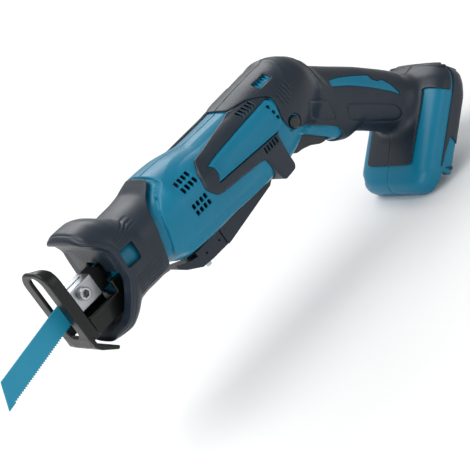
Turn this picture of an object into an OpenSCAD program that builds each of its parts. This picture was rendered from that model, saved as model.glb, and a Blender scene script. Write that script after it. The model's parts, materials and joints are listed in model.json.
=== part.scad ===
// Compact cordless reciprocating saw, bare tool, in millimetres.
// X points from the blade to the rear, Y to the tool's right, Z up.
// The origin is where the plunger's axis meets the front plane of the shoe.

/* [Body] */
// Width across the housing
body_w = 72; // [62:1:88]
// Height of the housing's top line above the plunger's axis
body_top = 26; // [24:0.5:31]
// Wall of the housing shells
wall = 3; // [2:0.5:3.5]
// Thickness of the rubber overmould
skin = 1.5; // [1:0.1:2]
// Front edge of the housing under the nose cover
house_x = 43; // [42:0.5:44]

/* [Handle and foot] */
// Length of the handle from the body to the foot
grip_l = 110; // [95:1:132]
// Thickness of the grip, top to front
grip_t = 41; // [36:1:48]
// Width of the grip
grip_w = 33; // [31:1:40]
// Slope of the handle below the body line
grip_angle = 42; // [38:1:46]
// Rise of the battery plane towards the rear
foot_angle = 38.4; // [35:0.2:42]
// Width of the foot
foot_w = 76; // [74:1:90]
// Length of the battery channel
channel_l = 66; // [60:1:72]
// Clear width of the battery channel
channel_w = 64; // [58:1:66]

/* [Blade drive] */
// Length of one blade stroke
stroke = 13; // [8:0.5:15]
// Diameter of the plunger bar
plunger_d = 12; // [9:0.5:14]
// Running gap round the plunger, on the radius
run_gap = 0.05; // [0.02:0.01:0.1]
// Diameter of the crank pin
pin_d = 5; // [4:0.5:6]
// Diameter of the roller on the crank pin
roller_d = 8; // [7:0.5:10]
// Width of the blade
blade_w = 16.5; // [12:0.5:20]
// Thickness of the blade
blade_t = 1.2; // [0.9:0.1:1.6]
// Length of the blade past the clamp
blade_l = 78; // [60:1:94]
// Droop of the blade below the plunger's axis
blade_angle = 9.5; // [0:0.5:12]

/* [Shoe] */
// Width of the shoe
shoe_w = 34; // [28:1:41]
// Height of the shoe's loop
shoe_h = 60; // [50:1:68]
// Thickness of the shoe plate
shoe_t = 4.5; // [3:0.1:4.6]
// Width of the slot that the blade passes through
slot_w = 10; // [8:0.5:12]

/* [Gears and motor] */
// Gear module
gear_m = 0.8; // [0.75:0.01:0.82]
// Teeth on the crank gear
gear_z = 45; // [45]
// Teeth on the pinion
pinion_z = 9; // [9]
// Distance of the crank's axis behind the shoe plane
crank_x = 105; // [104:0.5:107]
// Height of the motor's axis
motor_z = -6; // [-8:0.5:-4]
// Outer diameter of the motor can
can_d = 46; // [40:0.5:48]
// Length of the motor can
can_l = 36.5; // [30:0.5:37]
// Diameter of the motor shaft
shaft_d = 8; // [6:0.5:8]

/* [Controls] */
// Width of the trigger
trigger_w = 18; // [14:0.5:20]
// Diameter of the lock-off button
lock_d = 9; // [7:0.5:9.5]
// Travel of the lock-off button
lock_travel = 4; // [2:0.5:5]
// Size of the stored hex wrench across its flats
wrench_af = 4; // [3:0.5:5]

/* [Hidden] */

teal = "#0a7f9c";
rubber = "#2f3b45";
black = "#1c2022";
steel = "#a9adb3";
alloy = "#c3c6c9";
copper = "#b5652f";
brass = "#c9a24a";
big = 400;      // reach of the cutting blocks
fit = 0.2;      // gap round a piece that sits in a pocket
gap = 0.3;      // gap between neighbouring moving pieces
half = body_w / 2;

// ---- Outlines along the body, the handle and the foot ----
// Each row: place along the axis, top, bottom, half width, squareness of the outline.
body_rows = [
    [house_x, body_top - 6, -22, half - 7, 2.6],
    [70, body_top - 5.5, -23.5, half - 6.5, 2.6],
    [79, body_top - 5, -25, half - 5.5, 2.6],
    [88, body_top - 4, -30.5, half - 2.5, 2.5],
    [95, body_top - 1.2, -33.5, half - 1, 2.45],
    [103, body_top + 2.2, -35.5, half, 2.4],
    [120, body_top + 1.4, -35.5, half, 2.4],
    [132, body_top - 1, -35.5, half - 0.5, 2.4],
    [143, body_top - 3.4, -35, half - 1, 2.4],
    [173, body_top - 3.6, -34.5, half - 2, 2.6],
    [185, body_top - 2.8, -34.5, half - 2.5, 2.7],
    [197, body_top - 2.2, -33, half - 3, 2.6],
    [217, body_top - 1.5, -27, half - 5, 2.35],
    [233, body_top - 2.5, -21, half - 9, 2.3],
    [242, body_top - 8, -14, half - 15, 2.2],
    [246, body_top - 15, -8, half - 23, 2]];

g = grip_t / 2;
root = [223, 1];    // where the handle's axis starts, in the middle of the body's rear
grip_rows = [
    [-8, g - 1, -g - 3, grip_w / 2 + 8, 2.4],
    [10, g - 0.5, -g - 5, grip_w / 2 + 5, 2.5],
    [24, g + 0.5, -g - 6.5, grip_w / 2 + 2, 2.6],
    [42, g + 1.5, -g - 7, grip_w / 2 + 0.5, 2.6],
    [56, g + 2.5, -g - 5, grip_w / 2, 2.5],
    [68, g + 3, -g + 2, grip_w / 2, 2.4],
    [84, g + 3, -g + 3, grip_w / 2, 2.4],
    [grip_l - 10, g + 3.5, -g + 3, grip_w / 2 + 1, 2.4],
    [grip_l + 1, g + 6, -g + 1, grip_w / 2 + 4, 2.5],
    [grip_l + 12, g + 6, -g + 1, grip_w / 2 + 4, 2.5]];

deck = -16.4;       // plane that the battery's rails run on
foot_top = 1.3;
foot_bottom = -28.4;
foot_rear = 30;
channel_rear = 19;
foot_front = channel_rear - channel_l - 17;
f = foot_w / 2;
foot_rows = [
    [foot_front, foot_top - 4, foot_bottom + 8, f - 6, 3.5],
    [foot_front + 2, foot_top - 1.5, foot_bottom + 3, f - 2, 4.5],
    [foot_front + 6, foot_top, foot_bottom, f, 6],
    [foot_rear - 10, foot_top, foot_bottom, f, 6],
    [foot_rear - 3.5, foot_top - 1.5, foot_bottom + 1.5, f - 1, 5],
    [foot_rear, foot_top - 6, foot_bottom + 6, f - 5, 3.5]];

// ---- Lofted solids ----
function value(x, rows, col) = lookup(x, [for (r = rows) [r[0], r[col]]]);

// Half width of an outline at place x and height z, grown by o
function side(x, z, rows, o = 0) =
    let (t = value(x, rows, 1) + o, b = value(x, rows, 2) - o,
        w = value(x, rows, 3) + o, e = value(x, rows, 4),
        v = min(0.999, abs((z - (t + b) / 2) / ((t - b) / 2))))
    w * pow(1 - pow(v, e), 1 / e);

function outline(r, o, n) =
    let (t = r[1] + o, b = r[2] - o, w = r[3] + o, e = r[4])
    [for (i = [0:n - 1]) let (a = (i + 0.5) * 360 / n, c = cos(a), s = sin(a))
        [r[0], w * sign(c) * pow(abs(c), 2 / e), (t + b) / 2 + (t - b) / 2 * sign(s) * pow(abs(s), 2 / e)]];

// Solid through a list of rings that all have n points
module skin_over(rings, n) {
    m = len(rings);
    polyhedron(
        points = [for (r = rings) each r],
        faces = concat(
            [[for (i = [0:n - 1]) i]],
            [for (k = [0:m - 2], i = [0:n - 1]) let (j = (i + 1) % n) each [
                [k * n + i, (k + 1) * n + i, (k + 1) * n + j],
                [k * n + i, (k + 1) * n + j, k * n + j]]],
            [[for (i = [n - 1:-1:0]) (m - 1) * n + i]]),
        convexity = 6);
}

// Loft over rows grown by o. Its first and last rows move out by the same amount, or by open at an open end.
module loft(rows, o = 0, n = 24, open_first = undef, open_last = undef) {
    m = len(rows);
    first = is_undef(open_first) ? -o : -open_first;
    last = is_undef(open_last) ? o : open_last;
    skin_over([for (i = [0:m - 1]) let (r = rows[i], dx = i == 0 ? first : i == m - 1 ? last : 0)
        outline([r[0] + dx, r[1], r[2], r[3], r[4]], o, n)], n);
}

// Places a child in the handle's frame: X along the handle, Z across it, Y as on the tool
module on_grip() translate([root[0], 0, root[1]]) rotate([0, grip_angle, 0]) children();

// Places a child in the foot's frame: X along the battery's slide, Z out of the foot's top
foot_at = [root[0] + grip_l * cos(grip_angle) + 2.5 * sin(grip_angle),
    root[1] - grip_l * sin(grip_angle) + 2.5 * cos(grip_angle)];
module on_foot() translate([foot_at[0], 0, foot_at[1]]) rotate([0, -foot_angle, 0]) children();

function grip_point(t, k) = [root[0] + t * cos(grip_angle) + k * sin(grip_angle),
    root[1] - t * sin(grip_angle) + k * cos(grip_angle)];
function foot_point(s, v) = [foot_at[0] + s * cos(foot_angle) - v * sin(foot_angle),
    foot_at[1] + s * sin(foot_angle) + v * cos(foot_angle)];

// Prism along Y over an outline in the XZ plane
module side_prism(points, y0, y1)
    translate([0, y1, 0]) rotate([90, 0, 0]) linear_extrude(y1 - y0) polygon(points);

// Block from one corner to the other
module block(a, b) translate(a) cube(b - a);

// Cylinders along X and along Y between two places
module bar_x(r, x0, x1, y = 0, z = 0, fn = 48)
    translate([x0, y, z]) rotate([0, 90, 0]) cylinder(r = r, h = x1 - x0, $fn = fn);
module bar_y(r, y0, y1, x = 0, z = 0, fn = 48)
    translate([x, y1, z]) rotate([90, 0, 0]) cylinder(r = r, h = y1 - y0, $fn = fn);

module mirrored(right) mirror([0, right ? 1 : 0, 0]) children();

// ---- Places of the mechanism ----
throw = stroke / 2;
pinion_r = gear_m * pinion_z / 2;
motor_y = plunger_d / 2 + 0.6 - pinion_r + gear_m;
tip_y = motor_y + pinion_r - gear_m;
disc_y = motor_y + pinion_r + 1.25 * gear_m;
tooth_in = gear_m * (gear_z / 2 - 2.5);
tooth_out = gear_m * (gear_z / 2 + 1.5);
cavity_r = tooth_out + 1.2;
case_r = cavity_r + 2.6;
cover_y = disc_y + 7;
nose_y = 12.5;
nose_z = 13;
arm_low = -14.8;     // underside of the shoe's arms inside the housing
front_bearing_x = crank_x + 26.5;
bearing_w = 7;
bearing_r = 11;
fan_x = front_bearing_x + bearing_w + 1.5;
can_x = fan_x + 9.5;
cap_x = can_x + can_l;
cap_l = 13;
rear_bearing_x = cap_x + cap_l - bearing_w - 1;

// ---- Housing halves ----
screw_shank = 3;
screw_head_d = 7;
boss_r = 4.9;
// Screw places: which frame (0 body, 1 handle, 2 foot), along, across
screw_places = [[0, 131, -29], [0, 134, 16], [0, 217, 15], [0, 216, -12],
    [1, 59, -9], [1, grip_l - 14, 0], [2, foot_front + 10, -7], [2, foot_rear - 8, -7]];
function place_of(p) = p[0] == 0 ? [p[1], p[2]] : p[0] == 1 ? grip_point(p[1], p[2]) : foot_point(p[1], p[2]);
// Half width where the whole of a boss is inside the shell
function boss_y(p) = let (rows = p[0] == 0 ? body_rows : p[0] == 1 ? grip_rows : foot_rows)
    min(side(p[1], p[2] - boss_r, rows), side(p[1], p[2] + boss_r, rows)) - 1;

lock_x = 205;
lock_z = -9;
trigger_from = 9;       // along the handle
trigger_to = 36;
trigger_pin_r = 1.5;
trigger_hinge = [37, -g + 1.5];
trigger_pivot = grip_point(trigger_hinge[0], trigger_hinge[1]);

module outer(o = 0) {
    loft(body_rows, o, open_first = 0);
    on_grip() loft(grip_rows, o, 20);
    on_foot() loft(foot_rows, o, 20);
}

module hollow() {
    difference() {
        loft(body_rows, -wall, open_first = 10);
        for (x = [can_x + 6, can_x + can_l - 8])
            difference() {
                block([x, -big, -big], [x + 2, big, big]);
                for (y = [-1, 1])
                    block([x - 1, y * (half - 10) - 4, -big], [x + 3, y * (half - 10) + 4, big]);
            }
        difference() {
            block([59, -big, -big], [61, big, big]);
            block([58, -nose_y - fit, -nose_z - fit], [62, nose_y + fit, nose_z + fit]);
            block([58, -nose_y - 9, arm_low - fit], [62, nose_y + 9, -1]);
        }
    }
    on_grip() loft(grip_rows, -wall, 20);
    on_foot() difference() {
        loft(foot_rows, -wall, 20);
        block([foot_front - 10, -foot_w, foot_bottom - 10], [foot_rear + 10, foot_w, deck + wall]);
    }
}

// The battery's channel, open at the front, with a lip along each side, and the step in front of it
module channel() on_foot() {
    lip = 3.5;
    block([foot_front - 5, -channel_w / 2, foot_bottom + lip], [channel_rear, channel_w / 2, deck]);
    block([foot_front - 5, -channel_w / 2 + lip, foot_bottom - 5], [channel_rear, channel_w / 2 - lip, deck]);
    block([foot_front - 5, -foot_w, foot_bottom - 5], [channel_rear - channel_l, foot_w, deck]);
}

module trigger_opening() on_grip()
    block([trigger_from - 3.5, -trigger_w / 2 - 0.5, -g - 20], [trigger_to + 5, trigger_w / 2 + 0.5, -g + 8]);

vent = [2.4, 3.2];
module vents() {
    for (at = [[106, 10.2], [103.7, -5.7]], i = [0:3], j = [0:1])
        let (x = at[0] + 3.7 * i, z = at[1] + 4.8 * j)
        block([x, -big, z], [x + vent[0], 0, z + vent[1]]);
    for (i = [0:4])
        block([203.5 + 2.9 * i, -big, 16], [205 + 2.9 * i, 0, 19.5]);
}

module housing_half(right) difference() {
    mirrored(right) difference() {
        union() {
            difference() {
                outer();
                hollow();
                block([-big, 0, -big], [big, big, big]);
            }
            for (p = screw_places) let (c = place_of(p))
                bar_y(boss_r, -boss_y(p), 0, c[0], c[1], 24);
        }
        channel();
        trigger_opening();
        vents();
        terminal_window();
        bar_y(lock_d / 2 + gap, -big, 1, lock_x, lock_z);
        bar_y(trigger_pin_r, -trigger_w / 2 - 3, 1, trigger_pivot[0], trigger_pivot[1], 24);
    }
    for (p = screw_places) let (c = place_of(p)) {
        bar_y(screw_shank / 2, -11, 9, c[0], c[1], 24);
        bar_y(screw_head_d / 2 + fit, 8, big, c[0], c[1], 24);
    }
    mechanism_space();
}
// Room for the gear case, its cover and screws, and the motor
module mechanism_space() {
    bar_y(case_r + fit, -9.5 - fit, cover_y + 3 + fit, crank_x, motor_z, 96);
    lugs(3.2 + fit, 6 - fit, cover_y + 5 + fit);
    bar_x(can_d / 2 + run_gap, fan_x, cap_x + cap_l + fit, motor_y, motor_z);
}

module housing_left() color(teal) housing_half(false);
module housing_right() color(teal) housing_half(true);

module housing_screws() color(steel) for (p = screw_places) let (c = place_of(p)) {
    bar_y(screw_shank / 2, -10.5, 8, c[0], c[1], 24);
    difference() {
        bar_y(screw_head_d / 2, 8, 10.6, c[0], c[1], 24);
        bar_y(1.6, 9.2, 12, c[0], c[1], 6);
    }
}

// ---- Overmoulded rubber and plates on the outside ----
// A skin of thickness t on the left half, inside an outline in the XZ plane
module body_skin(t, points) difference() {
    intersection() {
        loft(body_rows, t, open_first = 0);
        side_prism(points, -big, 0);
    }
    loft(body_rows, 0, open_first = 1);
}

frame_outline = [[172, body_top - 4.5], [130, body_top - 6], [121, 12.5], [118, 2.5],
    [124, -6.2], [150, -9.5],
    [168.5, -12.3], [175, -34], [187, -32], [187, -5.5], [196.6, 1], [198.8, body_top - 7.3]];
badge_outline = [[131, 12], [134, 8], [129.5, 0.7], [187, -4.2], [195, -2.5], [200, 12], [197, 15]];
module side_frame(right) mirrored(right) difference() {
    body_skin(1.8, frame_outline);
    side_prism(badge_outline, -big, 1);
}
module side_frame_left() color(rubber) side_frame(false);
module side_frame_right() color(rubber) side_frame(true);

badge_inset = [for (p = badge_outline) let (c = [163, 6]) c + (p - c) * 0.985];
module badge_plate_left() color(teal) body_skin(1, badge_inset);
module badge_plate_right() color(teal) mirrored(true) body_skin(1, badge_inset);

grip_outline = [[176, body_top + 10], [176, body_top - 4], [199.2, body_top - 6.5], [201, 14],
    [197.8, 4], [198, -4],
    [198, -14], [204, -16], [212, -20], grip_point(8, -12),
    grip_point(44, -14), grip_point(46, -g - 20), grip_point(grip_l - 8, -g - 20),
    grip_point(grip_l - 8, g + 20),
    grip_point(40, g + 20), [262, body_top + 10]];
inlay_outline = [grip_point(36, 12), grip_point(34, 9), grip_point(60, 5), grip_point(86, 4),
    grip_point(90, 8),
    grip_point(62, 9)];
module grip_cover(right) mirrored(right) difference() {
    intersection() {
        union() {
            loft(body_rows, skin, open_first = 0);
            on_grip() loft(grip_rows, skin, 20);
        }
        side_prism(grip_outline, -big, 0);
    }
    outer();
    trigger_opening();
    side_prism(inlay_outline, -big, -5);
    bar_y(lock_d / 2 + 1.5, -big, 0, lock_x, lock_z);
    block([203, -big, 15.5], [217.5, 0, 20]);
    if (right)
        for (p = screw_places) let (c = place_of(p))
            bar_y(screw_head_d / 2 + fit, -big, -4, c[0], c[1], 24);
}
module grip_cover_left() color(rubber) grip_cover(false);
module grip_cover_right() color(rubber) grip_cover(true);

module foot_trim(right) mirrored(right) on_foot() difference() {
    loft(foot_rows, 1.2, 20);
    loft(foot_rows, 0, 20);
    block([-big, -big, deck + 2], [big, big, big]);
    block([-big, -big, -big], [big, big, foot_bottom + 2]);
    block([-big, -big, -big], [channel_rear - channel_l + 6, big, big]);
    block([-big, 0, -big], [big, big, big]);
}
module foot_trim_left() color(rubber) foot_trim(false);
module foot_trim_right() color(rubber) foot_trim(true);

// ---- Nose cover ----
cover_rows = [
    [14, body_top + 7, -36.5, half - 10, 2.8],
    [28, body_top + 9, -38, half - 5, 2.8],
    [36, body_top + 12, -34.7, half - 3, 2.7],
    [46, body_top + 11.5, -28.3, half - 3, 2.6],
    [53, body_top + 8.8, -27.8, half - 4, 2.6],
    [59, body_top + 3.9, -27.8, half - 4.5, 2.6],
    [66, body_top - 1.8, -27.5, half - 4.5, 2.6],
    [80, body_top - 1.9, -30.5, half - 3.5, 2.6],
    [88, body_top - 1.4, -34, half - 1, 2.5],
    [95, body_top + 1, -37, half + 0.5, 2.5],
    [101, body_top + 3.5, -38.5, half + 1.5, 2.4]];
mouth_rows = [
    [8, body_top + 1.5, -31.5, half - 15, 2.8],
    [28, body_top + 4, -33, half - 10, 2.8],
    [house_x, body_top - 2.5, -23, half - 9.5, 2.7]];
cover_outline = [[30, body_top + 19], [30, body_top + 4.5], [37, body_top - 0.5], [41.5, 17],
    [40.5, -4], [25, -28.5],
    [14.5, -31], [14.5, -45], [80, -45], [76, -30], [71, -22], [72, -10], [75, 1], [79, 12],
    [82, 17], [87, 20.5],
    [94, 24.3], [100, body_top + 1.5], [100, body_top + 19]];
module nose_cover() color(rubber) difference() {
    intersection() {
        loft(cover_rows);
        side_prism(cover_outline, -big, big);
    }
    loft(mouth_rows);
    loft(body_rows, 0, open_first = 0);
    for (y = [-big, 0])
        block([house_x + 2, y, 1], [house_x + 14, y + big, 14]);
}

// ---- Belly strip, clip and stored wrench ----
wrench_a = [107.5, -44.2];
wrench_slope = 6.2;
wrench_l = 58;
wrench_leg = 7;
seam_x = 125;       // where the clip meets the strip
corner_r = wrench_af / 2 / cos(30);
module on_wrench() translate([wrench_a[0], 0, wrench_a[1]]) rotate([0, -wrench_slope, 0]) children();
// The wrench's bore, and the slot that its short leg comes out through
module wrench_way() {
    bar_x(corner_r + fit, 0, wrench_l);
    block([-50, -corner_r - fit, -20], [corner_r + fit, corner_r + fit, corner_r + fit]);
    bar_x(corner_r + fit, -50, 0.1);
}
module belly_strip() color(rubber) difference() {
    side_prism([[seam_x, -47.4], [128, -47.2], [176, -39.4], [181, -36], [181, -28], [seam_x, -34]], -8, 8);
    loft(body_rows);
    on_wrench() wrench_way();
}
module wrench_clip() color(rubber) difference() {
    side_prism([[84, -35], [89, -39.5], [100, -46.2], [110, -47.2],
            [seam_x - gap, -47.4], [seam_x - gap, -30],
        [84, -20]], -7, 7);
    loft(body_rows);
    loft(cover_rows);
    on_wrench() wrench_way();
    for (x = [108, 121])
        bar_y(0.8, -big, -5, x, -40.9, 16);
}
module hex_wrench() color(steel) on_wrench() difference() {
    union() {
        bar_x(corner_r, -corner_r, wrench_l - 2, fn = 6);
        translate([0, 0, -wrench_leg]) cylinder(r = corner_r, h = wrench_leg + corner_r, $fn = 6);
    }
    rotate([0, 45, 0]) block([-9, -5, -5], [-corner_r, 5, 5]);
}

// ---- Gear case, bushes, seal and shoe ----
bush_r = plunger_d / 2 + 3;
bush_l = 10;
bush_x = [48, 68];
lug_angles = [50, 140, 215, 315];
lug_at = case_r - 0.9;
shoe_screw_at = [63, -8];
module lugs(r, y0, y1) for (a = lug_angles)
    bar_y(r, y0, y1, crank_x + lug_at * cos(a), motor_z + lug_at * sin(a), 24);

module gear_case() color(alloy) difference() {
    union() {
        bar_y(case_r, -9.5, cover_y, crank_x, motor_z, 96);
        lugs(3.2, 6, cover_y);
        block([45, -nose_y, -nose_z], [90, nose_y, nose_z]);
        bar_x(bearing_r + 3, crank_x + 22, front_bearing_x + bearing_w, motor_y, motor_z);
    }
    bar_y(cavity_r, -6, cover_y + 1, crank_x, motor_z, 96);
    bar_x(plunger_d / 2 + 0.5, 40, crank_x - 15);
    for (x = bush_x)
        bar_x(bush_r, x, x + bush_l);
    bar_x(bush_r, 40, bush_x[0]);
    bar_x(bush_r - 1, bush_x[0] + 5, bush_x[1] + 5);
    bar_x(pinion_r + gear_m + 1, crank_x + 15, front_bearing_x + 1, motor_y, motor_z);
    bar_x(bearing_r, front_bearing_x, front_bearing_x + bearing_w + 1, motor_y, motor_z);
    lugs(1.25, 10, cover_y + 1);
    for (s = [-1, 1])
        bar_y(2.1, s * 11 - 2.5, s * 11 + 2.5, shoe_screw_at[0], shoe_screw_at[1], 24);
}

crank_bearing_r = 15;
crank_bearing_w = 8;
crank_shaft_r = 5;
crank_bearing_y = cover_y - 2;
module gear_case_cover() color(alloy) difference() {
    union() {
        bar_y(case_r, cover_y, cover_y + 3, crank_x, motor_z, 96);
        lugs(3.2, cover_y, cover_y + 3);
        bar_y(crank_bearing_r + 3, crank_bearing_y, crank_bearing_y + crank_bearing_w + 1.5,
            crank_x, motor_z);
    }
    bar_y(crank_bearing_r, crank_bearing_y - 1, crank_bearing_y + crank_bearing_w, crank_x, motor_z);
    bar_y(crank_shaft_r + 1, cover_y, big, crank_x, motor_z);
    bar_x(bearing_r + 3 + fit, crank_x + 21, big, motor_y, motor_z);
    lugs(1.35, cover_y - 1, cover_y + 4);
}
module cover_screws() color(steel) {
    lugs(1.25, 10.5, cover_y + 3);
    difference() {
        lugs(2.6, cover_y + 3, cover_y + 5);
        lugs(1.1, cover_y + 4, cover_y + 6);
    }
}

module ring_x(ro, ri, x0, x1, y = 0, z = 0) difference() {
    bar_x(ro, x0, x1, y, z);
    bar_x(ri, x0 - 1, x1 + 1, y, z);
}
module front_bush() color(brass) ring_x(bush_r, plunger_d / 2 + run_gap, bush_x[0], bush_x[0] + bush_l);
module rear_bush() color(brass) ring_x(bush_r, plunger_d / 2 + run_gap, bush_x[1], bush_x[1] + bush_l);
module dust_seal() color(black) ring_x(bush_r, plunger_d / 2 + 0.3, 45.5, bush_x[0]);

shoe_top = 32;
arm_y = nose_y + 3.5;
module shoe() color(black) difference() {
    r = 9;
    union() {
        // loop plate
        for (y = [-1, 1], z = [shoe_top - r, shoe_top - shoe_h + r])
            bar_x(r, 0, shoe_t, y * (shoe_w / 2 - r), z);
        block([0, -shoe_w / 2, shoe_top - shoe_h + r], [shoe_t, shoe_w / 2, shoe_top - r]);
        block([0, -shoe_w / 2 + r, shoe_top - shoe_h], [shoe_t, shoe_w / 2 - r, shoe_top]);
        // hook along the bottom
        side_prism([[0, -20], [0, -28], [3, -31.5], [13, -39.8], [15, -38], [6.5, -27], [shoe_t, -20]],
            -shoe_w / 2, shoe_w / 2);
        // arms back to the gear case
        for (s = [-1, 1])
            block([shoe_t - 1, s > 0 ? nose_y : -arm_y, -23.5], [39, s > 0 ? arm_y : -nose_y, -11]);
        for (s = [-1, 1])
            block([36, s > 0 ? nose_y : -arm_y, arm_low], [70, s > 0 ? arm_y : -nose_y, -3]);
    }
    bar_x(slot_w / 2, -1, shoe_t + 1, 0, shoe_top - 3 - slot_w / 2);
    bar_x(slot_w / 2, -1, shoe_t + 1, 0, -18 + slot_w / 2);
    block([-1, -slot_w / 2, -18 + slot_w / 2], [shoe_t + 1, slot_w / 2, shoe_top - 3 - slot_w / 2]);
    for (s = [-1, 1])
        bar_y(2.2, s * 14 - 3, s * 14 + 3, shoe_screw_at[0], shoe_screw_at[1], 24);
}
module shoe_screws() color(steel) for (s = [-1, 1]) mirror([0, s > 0 ? 1 : 0, 0]) {
    bar_y(2, -arm_y, -9, shoe_screw_at[0], shoe_screw_at[1], 24);
    difference() {
        bar_y(3.8, -arm_y - 3, -arm_y, shoe_screw_at[0], shoe_screw_at[1], 24);
        bar_y(1.7, -arm_y - 4, -arm_y - 1.5, shoe_screw_at[0], shoe_screw_at[1], 6);
    }
}

// ---- Plunger, clamp and blade ----
clamp_x = [11.5, 31];
clamp_h = blade_w;
clamp_w = 16;
bolt_at = [18.7, 1.9];
yoke_slack = throw * 0.2105 + 0.15;
yoke_x = roller_d / 2 + yoke_slack + 2.6;
yoke_z = throw + roller_d / 2 + 3.2;
module plunger() color(black) difference() {
    union() {
        bar_x(4, clamp_x[1] - 2.5, clamp_x[1] + 1);
        block([clamp_x[1], -7, -7], [38.5, 7, 7]);
        bar_x(plunger_d / 2, 38, crank_x - yoke_x + 1);
        block([crank_x - yoke_x, -4.5, motor_z - yoke_z], [crank_x + yoke_x, 5, motor_z + yoke_z]);
    }
    block([crank_x - roller_d / 2 - yoke_slack, -6, motor_z - throw - roller_d / 2 - 1],
        [crank_x + roller_d / 2 + yoke_slack, 6, motor_z + throw + roller_d / 2 + 1]);
}
module blade_clamp() color(steel) difference() {
    block([clamp_x[0], -clamp_w / 2, -clamp_h / 2], [clamp_x[1], clamp_w / 2, clamp_h / 2]);
    block([clamp_x[0] - 1, -blade_t / 2 - 0.05, -clamp_h], [clamp_x[1] - 3, blade_t / 2 + 0.05, clamp_h]);
    bar_x(4, clamp_x[1] - 2.5, clamp_x[1] + 1);
    bar_y(2.5, -clamp_w, clamp_w / 2 - 2, bolt_at[0], bolt_at[1], 32);
}
module clamp_bolt() color(steel) difference() {
    union() {
        bar_y(2.5, -clamp_w / 2, clamp_w / 2 - 2.5, bolt_at[0], bolt_at[1], 32);
        bar_y(4.35, -clamp_w / 2 - 5, -clamp_w / 2, bolt_at[0], bolt_at[1]);
    }
    bar_y(2.3, -clamp_w, -clamp_w / 2 - 2, bolt_at[0], bolt_at[1], 6);
}
tooth_pitch = 1.8;
blade_tang = 16;
module blade() color(teal) difference() {
    translate([clamp_x[0] + 9.5, 0, 0]) rotate([0, -blade_angle, 0]) difference() {
        side_prism(concat(
            [[blade_tang - 10, blade_w / 2 - 1], [blade_tang - 10, -blade_w / 2 + 3]],
            [for (i = [0:floor((blade_l - 12) / tooth_pitch)]) each
                [[-16 - i * tooth_pitch, -blade_w / 2 + 1.2], [-16.4 - i * tooth_pitch, -blade_w / 2]]],
            [[-blade_l - 10, -blade_w / 2], [-blade_l, blade_w / 2]]), -blade_t / 2, blade_t / 2);
    }
    block([clamp_x[1] - 3.2, -3, -big], [big, 3, big]);
    bar_y(2.6, -3, 3, bolt_at[0], bolt_at[1], 32);
}

// ---- Crank ----
module crank_gear() color(steel) {
    difference() {
        union() {
            bar_y(tooth_out, disc_y, disc_y + 3.5, crank_x, motor_z, 96);
            bar_y(9, disc_y, disc_y + 4.8, crank_x, motor_z);
            bar_y(crank_shaft_r, disc_y, crank_bearing_y + crank_bearing_w - 0.5, crank_x, motor_z);
        }
        bar_y(pin_d / 2, 0, disc_y + 3, crank_x, motor_z + throw);
    }
    // crown teeth, with a gap where the pinion's tooth stands
    for (i = [0:gear_z - 1])
        translate([crank_x, disc_y, motor_z]) rotate([0, (i + 0.5) * 360 / gear_z, 0])
            translate([tooth_in, 0, 0]) rotate([90, 0, 90]) linear_extrude(tooth_out - tooth_in - 0.3)
                polygon(tooth(2.2 * gear_m, 1.8 * gear_m, 0.45 * gear_m));
}
// A tooth that stands h high on a base that it enters by 0.3
function tooth(h, root_t, tip_t) = [[0.3, -root_t / 2], [-h, -tip_t / 2], [-h, tip_t / 2], [0.3, root_t / 2]];

module crank_pin() color(steel) bar_y(pin_d / 2, -5.3, disc_y + 3, crank_x, motor_z + throw);
module crank_roller() color(steel) difference() {
    bar_y(roller_d / 2, -4.4, 4.9, crank_x, motor_z + throw);
    bar_y(pin_d / 2 + run_gap, -6, 6, crank_x, motor_z + throw);
}
module crank_bearing() color(steel) difference() {
    bar_y(crank_bearing_r, crank_bearing_y, crank_bearing_y + crank_bearing_w, crank_x, motor_z);
    bar_y(crank_shaft_r + run_gap, crank_bearing_y - 1, big, crank_x, motor_z);
}

// ---- Motor ----
module on_motor(x) translate([x, motor_y, motor_z]) rotate([0, 90, 0]) children();
module pinion() color(steel) difference() {
    union() {
        translate([0, motor_y, motor_z]) rotate([11, 0, 0])
            bar_x(pinion_r - 1.2 * gear_m, crank_x + tooth_in - 0.6, crank_x + tooth_out + 0.6);
        for (i = [0:pinion_z - 1])
            translate([crank_x + tooth_in - 0.5, motor_y, motor_z]) rotate([i * 360 / pinion_z, 0, 0])
                rotate([90, 0, 90]) linear_extrude(tooth_out - tooth_in + 1)
                    polygon([[2.4, -0.8 * gear_m], [pinion_r + 0.95 * gear_m, -0.25 * gear_m],
                        [pinion_r + 0.95 * gear_m, 0.25 * gear_m], [2.4, 0.8 * gear_m]]);
    }
    bar_x(2.01, 0, big, motor_y, motor_z, 32);
}
module motor_shaft() color(steel) {
    bar_x(2, crank_x + tooth_in - 1, front_bearing_x + 1, motor_y, motor_z, 32);
    bar_x(shaft_d / 2, front_bearing_x, rear_bearing_x + bearing_w, motor_y, motor_z);
}
module front_bearing() color(steel)
    ring_x(bearing_r, shaft_d / 2 + run_gap, front_bearing_x, front_bearing_x + bearing_w, motor_y, motor_z);
module rear_bearing() color(steel)
    ring_x(bearing_r, shaft_d / 2 + run_gap, rear_bearing_x, rear_bearing_x + bearing_w, motor_y, motor_z);
fan_r = can_d / 2 + 1.2;
module fan() color(black) difference() {
    union() {
        bar_x(7, fan_x, fan_x + 8, motor_y, motor_z);
        bar_x(fan_r, fan_x + 6.5, fan_x + 8, motor_y, motor_z);
        for (i = [0:12])
            translate([fan_x, motor_y, motor_z]) rotate([i * 360 / 13, 0, 0])
                block([0, -0.7, 6], [7, 0.7, fan_r - 1]);
    }
    bar_x(shaft_d / 2, 0, big, motor_y, motor_z);
}
core_r = can_d / 2 - 8;
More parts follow.
